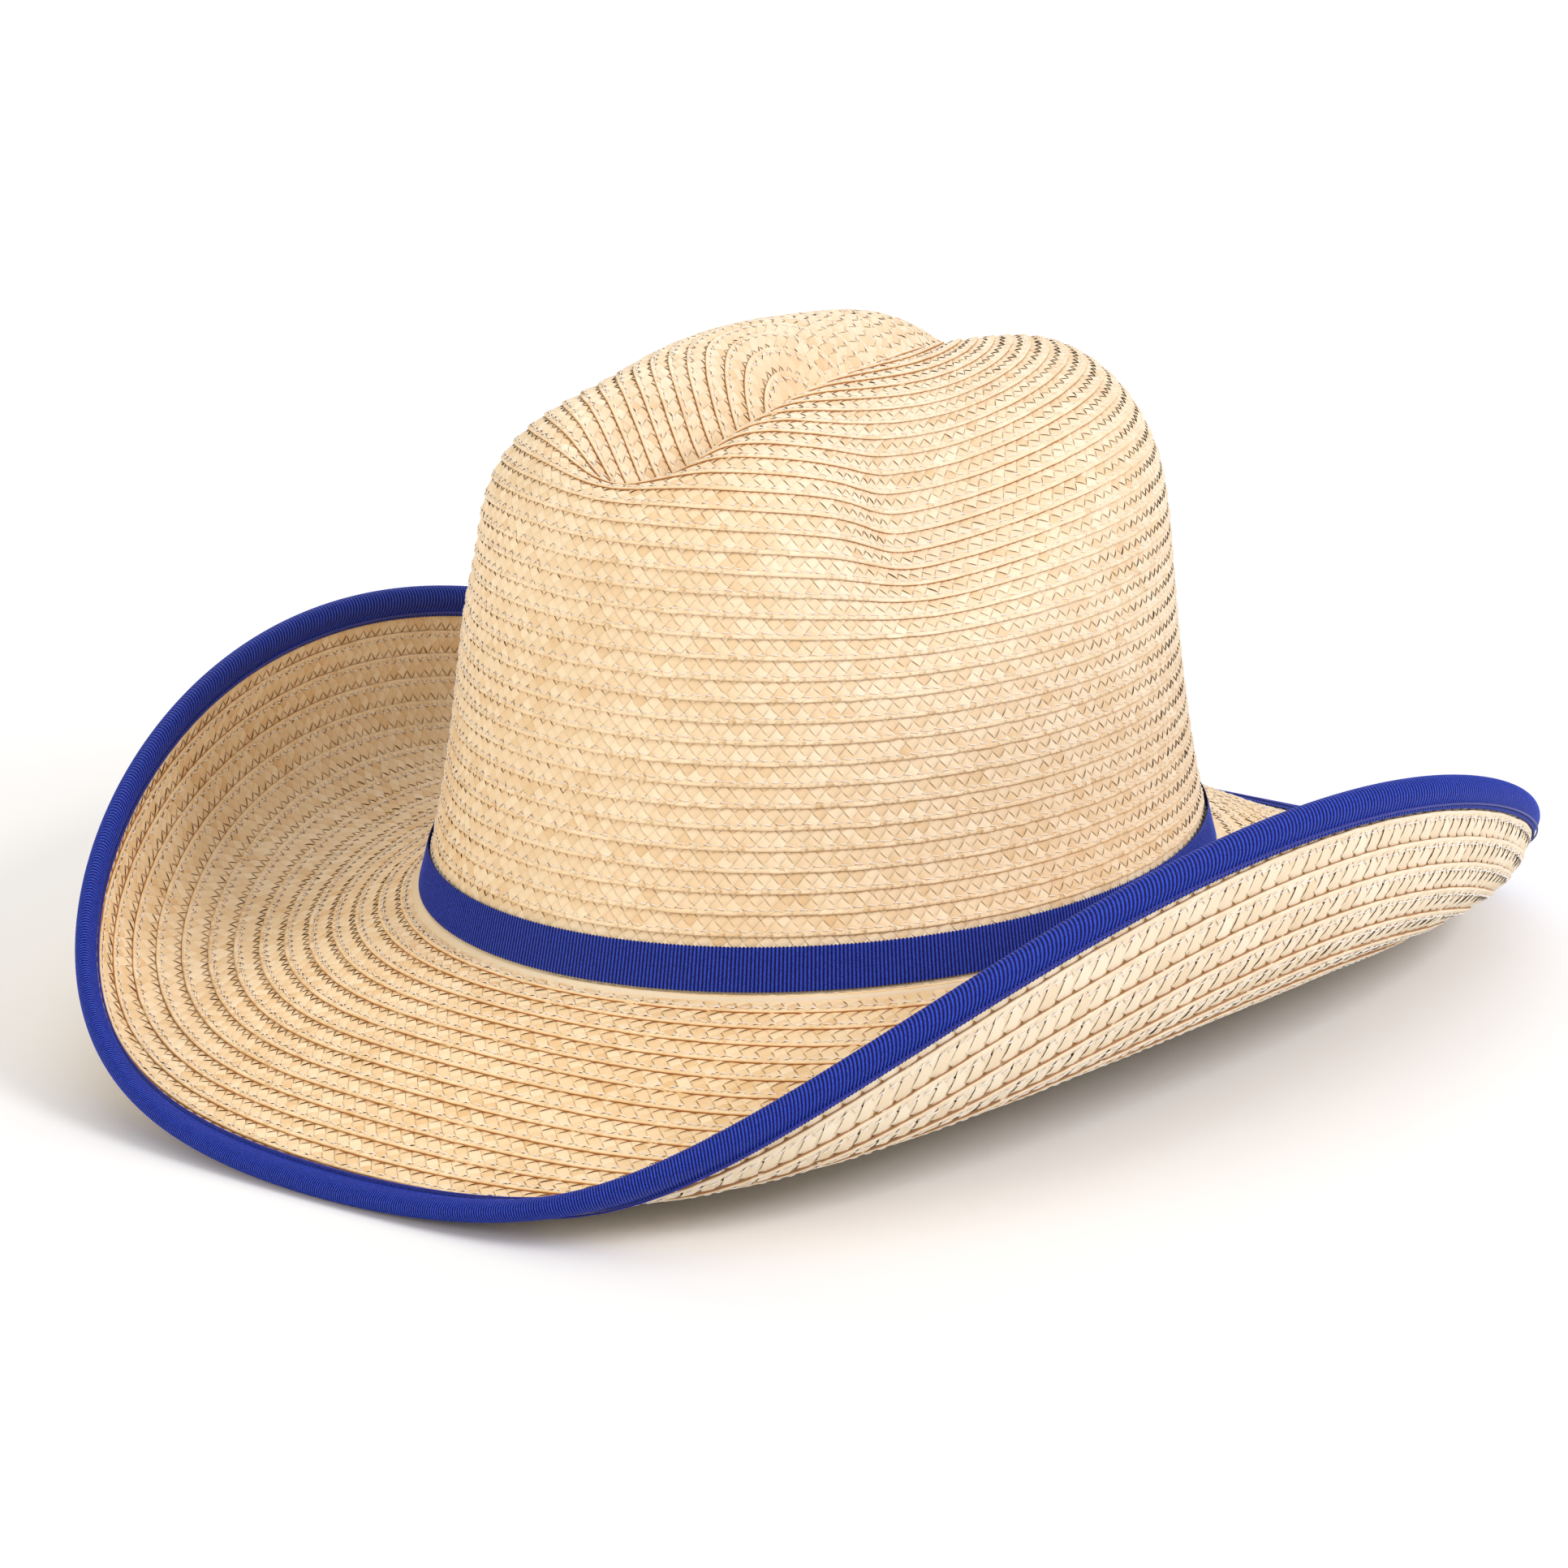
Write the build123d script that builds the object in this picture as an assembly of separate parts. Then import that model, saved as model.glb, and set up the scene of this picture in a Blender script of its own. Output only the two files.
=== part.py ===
from build123d import *
import os
from functools import lru_cache
from math import sin, cos, pi, exp, sqrt

# A sewn-braid straw cowboy hat. One file per physical piece, all in one frame:
# X to the wearer's left, front of the hat at -Y, Z up, the hat standing on z = 0.
os.makedirs("parts", exist_ok=True)

# ---- where the hat stands in the shared frame -------------------------------
BREAK_HEIGHT = 26.787       # the line where crown and brim meet, above the floor
BREAK_BACK = 7.586         # centre of the crown oval, behind the frame origin

# ---- sheet thicknesses and small clearances ---------------------------------
STRAW = 2.2                # lapped, sewn palm braid
RIBBON = 0.6               # grosgrain ribbon
GAP = 0.1                  # play between pieces that lie on each other

# ---- crown ------------------------------------------------------------------
HALF_LENGTH = 100.0        # oval at the break, front to back
HALF_WIDTH = 84.0          # oval at the break, side to side
# outline of the crown before it is creased: share of the oval, height
WALL = [(1.0, 0.0), (0.915, 28.0), (0.892, 58.0), (0.863, 85.0)]
DOME = [(0.863, 85.0), (0.836, 110.0), (0.635, 123.1), (0.0, 120.7)]
MEAN_HALF = 92.0           # oval half size used to measure along the outline

FRONT_BOW, BACK_BOW, BACK_RISE = -2.6, 4.0, 2.2
BACK_NARROWING = 0.066

CREASE_DEPTH, CREASE_FADE, CREASE_WIDTH = 22.2, 1.2, 8.9
CREASE_MIDDLE, CREASE_REACH, CREASE_END = 3.3, 74.3, 3.85

DENT_DEPTH, DENT_DROP = 21.0, 0.5
DENT_BACK, DENT_RUN, DENT_TILT = -30.0, 104.0, 0.38
DENT_FORE, DENT_AFT, DENT_BELOW, DENT_ABOVE = 17.0, 34.0, 14.0, 19.0
DENT_CLEAR = 16.0          # half width of the middle strip the dents leave alone

# ---- brim -------------------------------------------------------------------
# plan of the bound edge, as sine and cosine shares of the turn angle
EDGE_WIDE, EDGE_SQUARE, EDGE_WAVE = 135.2, -12.4, 0.1
EDGE_BACK, EDGE_LONG, EDGE_EGG, EDGE_BLUNT = 11.9, 184.9, -4.3, -15.5
SIDE_RISE, END_DROP, CORNER_DROP, FRONT_LIFT = 41.7, 24.3, 11.1, 0.7
# where the brim curve heads for, as shares of its width and as heights
NEAR_END, NEAR_SIDE, FAR_END, FAR_SIDE = 0.35, 0.50, 0.70, 1.183
DIP_END, DIP_SIDE, DIP_CORNER = -3.0, -13.1, -3.0
SAG_END, SAG_SIDE, SAG_CORNER = -19.4, -12.2, -14.7

# ---- edge: ribbon folded over straw and wire --------------------------------
BINDING_WIDTH = 7.5
NOSE_INSIDE = STRAW / 2 + GAP
NOSE_OUTSIDE = NOSE_INSIDE + RIBBON
STRAW_EDGE = NOSE_OUTSIDE + 1.35
WIRE_RADIUS = 0.8
CORD_SPLIT = 0.004         # half the gap between a cord's ends, as an angle
JOINER_RADIUS, JOINER_TURN = 1.12, 0.07
THREAD = 0.22              # radius of the sewing thread
STITCH_INWARD = 6.3

# ---- hat band and sweatband -------------------------------------------------
BAND_WIDTH, BAND_FOOT = 9.5, 0.4
BAND_FACE = GAP + RIBBON
BAND_LAP = 9.0             # half length of the ribbon's lap at the back
SWEAT_LOW, SWEAT_HIGH, SWEAT_THICK = -2.0, 30.0, 1.0
SWEAT_BACK = STRAW + GAP
SWEAT_FACE = SWEAT_BACK + SWEAT_THICK
TAB_HALF, TAB_THICK = 6.0, 0.5


def smooth(value):
    """Goes from 0 to 1 without a corner."""
    value = min(max(value, 0.0), 1.0)
    return value * value * (3 - 2 * value)


def bezier(ends, share):
    """A point on the cubic through the four given points."""
    rest = 1 - share
    weights = (rest ** 3, 3 * rest ** 2 * share, 3 * rest * share ** 2, share ** 3)
    return tuple(sum(w * end[i] for w, end in zip(weights, ends)) for i in range(len(ends[0])))


def measured_outline(steps=80):
    """The uncreased crown outline with the distance run along it."""
    spots = [bezier(WALL, i / steps) for i in range(steps)]
    spots += [bezier(DOME, i / steps) for i in range(steps + 1)]
    run = [0.0]
    for (w0, z0), (w1, z1) in zip(spots, spots[1:]):
        run.append(run[-1] + sqrt(((w1 - w0) * MEAN_HALF) ** 2 + (z1 - z0) ** 2))
    return run, spots


RUNS, SPOTS = measured_outline()
CROWN_RUN = RUNS[-1]


def outline(run):
    """Share of the oval and height at a distance up the uncreased crown."""
    run = min(max(run, 0.0), CROWN_RUN)
    i = max(k for k in range(len(RUNS) - 1) if RUNS[k] <= run)
    part = (run - RUNS[i]) / (RUNS[i + 1] - RUNS[i])
    return tuple(a + (b - a) * part for a, b in zip(SPOTS[i], SPOTS[i + 1]))


def crown_point(turn, run):
    """Outer face of the crown; turn is the angle from the front."""
    share, height = outline(run)
    x = HALF_WIDTH * share * sin(turn)
    y = -HALF_LENGTH * share * cos(turn)

    # the two front dents, pushed in from the sides
    along = y - DENT_BACK
    above = run - DENT_RUN - DENT_TILT * along
    length = DENT_FORE if along < 0 else DENT_AFT
    spread = DENT_BELOW if above < 0 else DENT_ABOVE
    push = DENT_DEPTH * exp(-0.5 * (along / length) ** 2 - 0.5 * (above / spread) ** 2)
    push *= 1 - exp(-0.5 * (x / DENT_CLEAR) ** 2)
    side = 1 if x > 0 else -1
    x -= side * push * sqrt(1 - DENT_DROP ** 2)
    z = height - push * DENT_DROP

    # the top bows down toward both ends and narrows toward the back
    x *= 1 - BACK_NARROWING * smooth((height - 75) / 40) * smooth((y + 10) / 70)
    bow = FRONT_BOW if y < 0 else BACK_BOW
    z += smooth((height - 60) / 60) * (BACK_RISE * y / 80 - bow * (y / 80) ** 2)

    # the long crease down the middle
    depth = CREASE_DEPTH - CREASE_FADE * y / 80
    ends = 1 / (1 + exp((abs(y - CREASE_MIDDLE) - CREASE_REACH) / CREASE_END))
    z -= depth * ends * exp(-0.5 * (x / CREASE_WIDTH) ** 2) * smooth((height - 70) / 45)
    return Vector(x, y + BREAK_BACK, z + BREAK_HEIGHT)


def crown_normal(turn, run):
    """Outward direction of the crown's outer face."""
    if run < 0.5:
        run = 0.5
    around = crown_point(turn + 0.01, run) - crown_point(turn - 0.01, run)
    upward = crown_point(turn, run + 0.4) - crown_point(turn, run - 0.4)
    return around.cross(upward).normalized()


def crown_offset(turn, run, out):
    """A point off the crown's outer face; level at the break, straight down below it."""
    normal = crown_normal(turn, run)
    normal = Vector(normal.X, normal.Y, normal.Z * smooth(run / 30)).normalized()
    return crown_point(turn, run) + normal * out + Vector(0, 0, min(run, 0))


def rim_point(turn):
    """Outermost line of the bound edge, from the centre of the crown oval."""
    s, c = sin(turn), cos(turn)
    x = EDGE_WIDE * s + EDGE_SQUARE * sin(2 * turn) + EDGE_WAVE * sin(3 * turn)
    y = -(EDGE_BACK + EDGE_LONG * c + EDGE_EGG * cos(2 * turn) + EDGE_BLUNT * cos(3 * turn))
    z = SIDE_RISE * s * s - END_DROP * c * c - CORNER_DROP * sin(2 * turn) ** 2
    return Vector(x, y, z + FRONT_LIFT * (c - cos(3 * turn)))


def brim_ends(turn):
    """The four points that steer the brim's cross section at one angle."""
    ends, sides, corners = cos(turn) ** 2, sin(turn) ** 2, sin(2 * turn) ** 2
    foot = Vector(HALF_WIDTH * sin(turn), -HALF_LENGTH * cos(turn), 0)
    rim = rim_point(turn)
    reach = Vector(rim.X - foot.X, rim.Y - foot.Y, 0)
    near = foot + reach * (NEAR_END * ends + NEAR_SIDE * sides)
    far = foot + reach * (FAR_END * ends + FAR_SIDE * sides)
    near += Vector(0, 0, DIP_END * ends + DIP_SIDE * sides + DIP_CORNER * corners)
    far += Vector(0, 0, SAG_END * ends + SAG_SIDE * sides + SAG_CORNER * corners)
    return [tuple(p) for p in (foot, near, far, rim)]


def brim_middle(turn, share):
    """Middle of the straw; share runs from the break to the outer line."""
    x, y, z = bezier(brim_ends(turn), share)
    return Vector(x, y + BREAK_BACK, z + BREAK_HEIGHT - STRAW / 2)


def brim_normal(turn, share):
    """Upward direction of the brim."""
    share = min(max(share, 0.01), 0.99)
    around = brim_middle(turn + 0.01, share) - brim_middle(turn - 0.01, share)
    outward = brim_middle(turn, share + 0.01) - brim_middle(turn, share - 0.01)
    return outward.cross(around).normalized()


@lru_cache(maxsize=None)
def share_from_edge(turn, inward):
    """How far along the brim curve a distance in from the outer line lies."""
    low, high = 0.5, 1.0
    for _ in range(24):
        middle = (low + high) / 2
        steps = [brim_middle(turn, middle + (1 - middle) * i / 6) for i in range(7)]
        length = sum((b - a).length for a, b in zip(steps, steps[1:]))
        if length > inward:
            low = middle
        else:
            high = middle
    return (low + high) / 2


def edge_point(turn, inward, above):
    """A point near the bound edge: in from the outer line, off the straw's middle."""
    share = share_from_edge(turn, inward)
    return brim_middle(turn, share) + brim_normal(turn, share) * above


def edge_arc(turn, radius, angle):
    """A point on the rounded nose of the binding; angle 0 is straight up."""
    centre = share_from_edge(turn, NOSE_OUTSIDE)
    up = brim_normal(turn, centre)
    out = (brim_middle(turn, 1.0) - brim_middle(turn, centre)).normalized()
    return brim_middle(turn, centre) + up * (radius * cos(angle)) + out * (radius * sin(angle))


def closed_ring(place, count=56):
    """A smooth closed loop through place(turn)."""
    return Wire([Edge.make_spline([place(2 * pi * i / count) for i in range(count)], periodic=True)])


def flat_ring(place, height, count=56):
    """A closed loop pressed flat at one height."""
    def pressed(turn):
        spot = place(turn)
        return Vector(spot.X, spot.Y, height)
    return closed_ring(pressed, count)


def closed_section(*runs):
    """A closed outline from runs of points, each joined to the next."""
    edges = []
    for i, spots in enumerate(runs):
        edges.append(Edge.make_line(*spots) if len(spots) == 2 else Edge.make_spline(spots))
        following = runs[(i + 1) % len(runs)][0]
        if (spots[-1] - following).length > 1e-6:
            edges.append(Edge.make_line(spots[-1], following))
    return Wire(edges)


def both_halves(section, count=24):
    """Lofts a section round the left half of the hat and mirrors it."""
    half = Solid.make_loft([section(pi * i / count) for i in range(count + 1)])
    return half.fuse(half.mirror(Plane.YZ))


def open_path(place, first, last, count=96):
    """A smooth open line through place(turn)."""
    return Edge.make_spline([place(first + (last - first) * i / count) for i in range(count + 1)])


def cord(place, radius):
    """A thin round cord all the way round, its ends just apart at the back."""
    path = open_path(place, -pi + CORD_SPLIT, pi - CORD_SPLIT)
    return sweep(Plane(path @ 0, z_dir=path % 0) * Circle(radius), path=path)


def save(shape, name):
    shape.label = name
    export_step(shape, "parts/" + name + ".step")


# ---- crown ------------------------------------------------------------------
def crown_shell():
    levels = [CROWN_RUN * 0.985 * i / 30 for i in range(31)]
    tip = crown_point(0.5 * pi, levels[-1]).Z
    outer = [flat_ring(lambda t: crown_point(t, 0), BREAK_HEIGHT)]
    outer += [closed_ring(lambda t, r=run: crown_point(t, r)) for run in levels[1:-1]]
    outer += [flat_ring(lambda t: crown_point(t, levels[-1]), tip)]
    inner = [flat_ring(lambda t: crown_offset(t, 0, -STRAW), BREAK_HEIGHT - 4)]
    inner += [flat_ring(lambda t: crown_offset(t, 0, -STRAW), BREAK_HEIGHT)]
    inner += [closed_ring(lambda t, r=run: crown_offset(t, r, -STRAW)) for run in levels[1:-1]]
    inner += [flat_ring(lambda t: crown_point(t, levels[-1]), tip - STRAW)]
    return Solid.make_loft(outer) - Solid.make_loft(inner)


# ---- brim -------------------------------------------------------------------
def brim_section(turn):
    last = share_from_edge(turn, STRAW_EDGE)
    shares = [last * i / 14 for i in range(15)]
    foot = crown_point(turn, 0)
    inside = crown_offset(turn, 0, -STRAW)
    below = Vector(0, 0, STRAW)
    top = [foot] + [brim_middle(turn, s) + brim_normal(turn, s) * (STRAW / 2) for s in shares[1:]]
    under = [brim_middle(turn, s) - brim_normal(turn, s) * (STRAW / 2) for s in shares[:0:-1]]
    return closed_section([inside, foot], top, under + [foot - below], [foot - below, inside - below])


def binding_section(turn):
    inset = [BINDING_WIDTH, 6.0, 4.0]
    angles = [pi * i / 6 for i in range(7)]
    outside = [edge_point(turn, d, NOSE_OUTSIDE) for d in inset]
    outside += [edge_arc(turn, NOSE_OUTSIDE, a) for a in angles]
    outside += [edge_point(turn, d, -NOSE_OUTSIDE) for d in reversed(inset)]
    inside = [edge_point(turn, d, -NOSE_INSIDE) for d in inset]
    inside += [edge_arc(turn, NOSE_INSIDE, a) for a in reversed(angles)]
    inside += [edge_point(turn, d, NOSE_INSIDE) for d in reversed(inset)]
    return closed_section(outside, inside)


# ---- wire inside the binding ------------------------------------------------
def wire_path(turn):
    share = share_from_edge(turn, NOSE_OUTSIDE)
    return brim_middle(turn, share)


def wire_joiner():
    path = open_path(wire_path, pi - JOINER_TURN, pi + JOINER_TURN, 8)
    start = Plane(path @ 0, z_dir=path % 0)
    return sweep(start * (Circle(JOINER_RADIUS) - Circle(WIRE_RADIUS + 0.02)), path=path)


# ---- strips that follow the crown wall --------------------------------------
def wall_section(turn, low, high, near, far, count=6):
    heights = [low + (high - low) * i / count for i in range(count + 1)]
    front = [crown_offset(turn, h, far) for h in heights]
    back = [crown_offset(turn, h, near) for h in reversed(heights)]
    return closed_section(front, back)


def wall_strip(low, high, near, far):
    """A closed strip round the crown wall."""
    return both_halves(lambda turn: wall_section(turn, low, high, near, far))


def wall_patch(low, high, near, far, half_length):
    """A short strip across the back of the crown wall."""
    window = Box(2 * half_length, 60, 120)
    return wall_strip(low, high, near, far) & Pos(0, BREAK_BACK + HALF_LENGTH, BREAK_HEIGHT) * window


def band_tacks():
    """Two short bars of thread holding the ribbon's lap down."""
    bars = []
    for side in (-1, 1):
        turn = pi + side * (BAND_LAP - 1.5) / HALF_LENGTH
        out = 2 * BAND_FACE + THREAD + 0.02
        low = crown_offset(turn, BAND_FOOT + 1.5, out)
        high = crown_offset(turn, BAND_FOOT + BAND_WIDTH - 1.5, out)
        bars.append(Solid.make_cylinder(THREAD, (high - low).length, Plane(low, z_dir=high - low)))
    return Compound(bars)


# ---- sewing that holds the trims --------------------------------------------
def binding_stitching():
    """The row of thread on the top and on the underside of the binding."""
    off = NOSE_OUTSIDE + THREAD + 0.03
    top = cord(lambda t: edge_point(t, STITCH_INWARD, off), THREAD)
    under = cord(lambda t: edge_point(t, STITCH_INWARD, -off), THREAD)
    return Compound([*top.solids(), *under.solids()])


def sweatband_stitching():
    return cord(lambda t: crown_offset(t, 1.5, -SWEAT_FACE - THREAD - 0.15), THREAD)


BAND_TOP = BAND_FOOT + BAND_WIDTH
save(crown_shell(), "crown")
save(both_halves(brim_section), "brim")
save(both_halves(binding_section, 36), "edge_binding")
save(binding_stitching(), "binding_stitching")
save(cord(wire_path, WIRE_RADIUS), "edge_wire")
save(wire_joiner(), "wire_joiner")
save(wall_strip(BAND_FOOT, BAND_TOP, GAP, BAND_FACE), "hat_band")
save(wall_patch(BAND_FOOT, BAND_TOP, BAND_FACE + GAP, 2 * BAND_FACE, BAND_LAP), "hat_band_lap")
save(band_tacks(), "hat_band_tacks")
save(wall_strip(SWEAT_LOW, SWEAT_HIGH, -SWEAT_FACE, -SWEAT_BACK), "sweatband")
save(wall_patch(3.0, SWEAT_HIGH - 2, -SWEAT_FACE - GAP - TAB_THICK, -SWEAT_FACE - GAP, TAB_HALF), "sweatband_tab")
save(sweatband_stitching(), "sweatband_stitching")
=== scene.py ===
import math

import bpy
import numpy as np
from mathutils import Matrix, Vector


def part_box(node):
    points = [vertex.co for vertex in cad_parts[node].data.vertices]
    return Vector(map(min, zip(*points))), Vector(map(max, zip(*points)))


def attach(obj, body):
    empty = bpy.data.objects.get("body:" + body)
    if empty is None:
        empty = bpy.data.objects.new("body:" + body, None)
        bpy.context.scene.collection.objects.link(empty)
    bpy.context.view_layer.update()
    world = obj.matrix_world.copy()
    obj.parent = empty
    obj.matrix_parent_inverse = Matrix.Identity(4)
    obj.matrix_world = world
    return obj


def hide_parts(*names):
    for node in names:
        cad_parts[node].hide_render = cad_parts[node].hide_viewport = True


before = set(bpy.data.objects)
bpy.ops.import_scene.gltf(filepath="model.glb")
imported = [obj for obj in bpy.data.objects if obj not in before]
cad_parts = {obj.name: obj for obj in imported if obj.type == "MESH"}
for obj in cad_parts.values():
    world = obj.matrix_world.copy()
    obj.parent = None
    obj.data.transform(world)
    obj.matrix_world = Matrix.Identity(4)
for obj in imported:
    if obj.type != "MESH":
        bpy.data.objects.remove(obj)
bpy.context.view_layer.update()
rng = np.random.default_rng(7)
MM = 0.001

# ---------------------------------------------------------------- the hat's form, mm
# The crown oval, its height and its place come from the frame. The rest repeats the
# driving dimensions of the CAD model.
CROWN_LOW, CROWN_HIGH = [np.array(corner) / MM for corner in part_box("crown")]
HALF_WIDTH = (CROWN_HIGH[0] - CROWN_LOW[0]) / 2
HALF_LENGTH = (CROWN_HIGH[1] - CROWN_LOW[1]) / 2
BREAK_BACK = (CROWN_HIGH[1] + CROWN_LOW[1]) / 2
BREAK_HEIGHT = CROWN_LOW[2]

STRAW = 2.2                # thickness of the sewn braid
RIBBON = 0.6               # thickness of the grosgrain
GAP = 0.1                  # clearance between ribbon and straw

# the crown's outline as two curves: share of the oval, height above the break
WALL = [(1.0, 0.0), (0.915, 28.0), (0.892, 58.0), (0.863, 85.0)]
DOME = [(0.863, 85.0), (0.836, 110.0), (0.635, 123.1), (0.0, 120.7)]
MEAN_HALF = 92.0           # mean half size of the oval, for lengths along the outline
FRONT_BOW, BACK_BOW, BACK_RISE = -2.6, 4.0, 2.2
BACK_NARROWING = 0.066
CREASE_DEPTH, CREASE_FADE, CREASE_WIDTH = 22.2, 1.2, 8.9
CREASE_MIDDLE, CREASE_REACH, CREASE_END = 3.3, 74.3, 3.85
DENT_DEPTH, DENT_DROP = 21.0, 0.5
DENT_BACK, DENT_RUN, DENT_TILT = -30.0, 104.0, 0.38
DENT_FORE, DENT_AFT, DENT_BELOW, DENT_ABOVE = 17.0, 34.0, 14.0, 19.0
DENT_CLEAR = 16.0

# the brim's outermost line, and the curve by which it is reached from the break
EDGE_WIDE, EDGE_SQUARE, EDGE_WAVE = 135.2, -12.4, 0.1
EDGE_BACK, EDGE_LONG, EDGE_EGG, EDGE_BLUNT = 11.9, 184.9, -4.3, -15.5
SIDE_RISE, END_DROP, CORNER_DROP, FRONT_LIFT = 41.7, 24.3, 11.1, 0.7
NEAR_END, NEAR_SIDE, FAR_END, FAR_SIDE = 0.35, 0.50, 0.70, 1.183
DIP_END, DIP_SIDE, DIP_CORNER = -3.0, -13.1, -3.0
SAG_END, SAG_SIDE, SAG_CORNER = -19.4, -12.2, -14.7

BINDING_WIDTH = 7.5
BAND_WIDTH, BAND_FOOT = 9.5, 0.4

TURN = 2 * math.pi
TURN_STEPS = 720           # steps in one turn of the lookup grids


def smooth(value):
    """Goes from 0 to 1 without a corner."""
    value = np.clip(value, 0.0, 1.0)
    return value * value * (3 - 2 * value)


def bezier(ends, share):
    """Points on the cubic through the four given ends."""
    rest = 1 - share
    weights = (rest ** 3, 3 * rest ** 2 * share, 3 * rest * share ** 2, share ** 3)
    return sum(w * end for w, end in zip(weights, ends))


def crown_outline(steps=80):
    """The uncreased crown outline: distance run, share of the oval, height."""
    share = np.linspace(0, 1, steps + 1)
    wall = [bezier([end[i] for end in WALL], share) for i in (0, 1)]
    dome = [bezier([end[i] for end in DOME], share) for i in (0, 1)]
    width = np.r_[wall[0][:-1], dome[0]]
    height = np.r_[wall[1][:-1], dome[1]]
    steps_run = np.hypot(np.diff(width) * MEAN_HALF, np.diff(height))
    return np.r_[0, np.cumsum(steps_run)], width, height


OUTLINE_RUN, OUTLINE_WIDTH, OUTLINE_HEIGHT = crown_outline()
CROWN_RUN = OUTLINE_RUN[-1]


def crown_points(turn, run):
    """Outer face of the creased crown; turn is the angle from the front."""
    share = np.interp(run, OUTLINE_RUN, OUTLINE_WIDTH)
    height = np.interp(run, OUTLINE_RUN, OUTLINE_HEIGHT)
    x = HALF_WIDTH * share * np.sin(turn)
    y = -HALF_LENGTH * share * np.cos(turn)

    along = y - DENT_BACK
    above = run - DENT_RUN - DENT_TILT * along
    length = np.where(along < 0, DENT_FORE, DENT_AFT)
    spread = np.where(above < 0, DENT_BELOW, DENT_ABOVE)
    push = DENT_DEPTH * np.exp(-0.5 * (along / length) ** 2 - 0.5 * (above / spread) ** 2)
    push = push * (1 - np.exp(-0.5 * (x / DENT_CLEAR) ** 2))
    x = x - np.sign(x) * push * math.sqrt(1 - DENT_DROP ** 2)
    z = height - push * DENT_DROP

    x = x * (1 - BACK_NARROWING * smooth((height - 75) / 40) * smooth((y + 10) / 70))
    bow = np.where(y < 0, FRONT_BOW, BACK_BOW)
    z = z + smooth((height - 60) / 60) * (BACK_RISE * y / 80 - bow * (y / 80) ** 2)

    depth = CREASE_DEPTH - CREASE_FADE * y / 80
    ends = 1 / (1 + np.exp((np.abs(y - CREASE_MIDDLE) - CREASE_REACH) / CREASE_END))
    z = z - depth * ends * np.exp(-0.5 * (x / CREASE_WIDTH) ** 2) * smooth((height - 70) / 45)
    return np.stack([x, y + BREAK_BACK, z + BREAK_HEIGHT], -1)


def brim_points(turn, share):
    """Middle of the brim's straw; share runs from the break to the outermost line."""
    s, c = np.sin(turn), np.cos(turn)
    ends, sides, corners = c ** 2, s ** 2, np.sin(2 * turn) ** 2
    rim_x = EDGE_WIDE * s + EDGE_SQUARE * np.sin(2 * turn) + EDGE_WAVE * np.sin(3 * turn)
    rim_y = -(EDGE_BACK + EDGE_LONG * c + EDGE_EGG * np.cos(2 * turn) + EDGE_BLUNT * np.cos(3 * turn))
    rim_z = SIDE_RISE * sides - END_DROP * ends - CORNER_DROP * corners
    rim_z = rim_z + FRONT_LIFT * (c - np.cos(3 * turn))
    foot_x, foot_y = HALF_WIDTH * s, -HALF_LENGTH * c
    near = NEAR_END * ends + NEAR_SIDE * sides
    far = FAR_END * ends + FAR_SIDE * sides
    dip = DIP_END * ends + DIP_SIDE * sides + DIP_CORNER * corners
    sag = SAG_END * ends + SAG_SIDE * sides + SAG_CORNER * corners
    x = bezier([foot_x, foot_x + (rim_x - foot_x) * near, foot_x + (rim_x - foot_x) * far, rim_x], share)
    y = bezier([foot_y, foot_y + (rim_y - foot_y) * near, foot_y + (rim_y - foot_y) * far, rim_y], share)
    z = bezier([0 * s, dip, sag, rim_z], share)
    return np.stack([x, y + BREAK_BACK, z + BREAK_HEIGHT - STRAW / 2], -1)


class Sheet:
    """A curved sheet as a fine grid, looked up by angle and by distance across it."""

    def __init__(self, points, turns=TURN_STEPS):
        """points[i, j] is at angle i and at equal steps of distance j."""
        self.grid = points
        self.turns = turns
        self.lines = points.shape[1]
        wrapped = np.concatenate([points[-2:-1], points, points[1:2]])
        around = wrapped[2:] - wrapped[:-2]
        across = np.gradient(points, axis=1)
        normal = np.cross(around, across)
        # where a line shrinks to a point, its normal is the mean of the next line's
        for line, neighbour in ((0, 1), (-1, -2)):
            if np.linalg.norm(normal[:, line], axis=-1).min() < 1e-9:
                normal[:, line] = normal[:, neighbour].mean(0)
        self.normals = normal / np.linalg.norm(normal, axis=-1, keepdims=True)
        self.pace = np.linalg.norm(around, axis=-1) / (2 * TURN / turns)
        self.length = np.linalg.norm(np.diff(points, axis=1), axis=-1).sum(1)

    def _mixed(self, field, turn, part):
        """Bilinear value of a grid field; part runs 0 to 1 across the sheet."""
        at = np.mod(turn, TURN) / TURN * self.turns
        i = np.clip(at.astype(int), 0, self.turns - 1)
        a = at - i
        to = np.clip(part, 0, 1) * (self.lines - 1)
        j = np.clip(to.astype(int), 0, self.lines - 2)
        b = to - j
        if field.ndim == 3:
            a, b = a[..., None], b[..., None]
        low = field[i, j] * (1 - a) + field[i + 1, j] * a
        high = field[i, j + 1] * (1 - a) + field[i + 1, j + 1] * a
        return low * (1 - b) + high * b

    def point(self, turn, part, off=0.0):
        """Points off the sheet along its normal."""
        turn, part, off = np.broadcast_arrays(np.asarray(turn, float), part, off)
        normal = self._mixed(self.normals, turn, part)
        normal = normal / np.linalg.norm(normal, axis=-1, keepdims=True)
        return self._mixed(self.grid, turn, part) + normal * np.asarray(off)[..., None]

    def speed(self, turn, part):
        """Millimetres round the hat for each radian of turn."""
        return self._mixed(self.pace, turn, part)

    def width(self, turn):
        """Distance across the whole sheet."""
        at = np.mod(turn, TURN) / TURN * self.turns
        return np.interp(at, np.arange(self.turns + 1), self.length)


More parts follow.
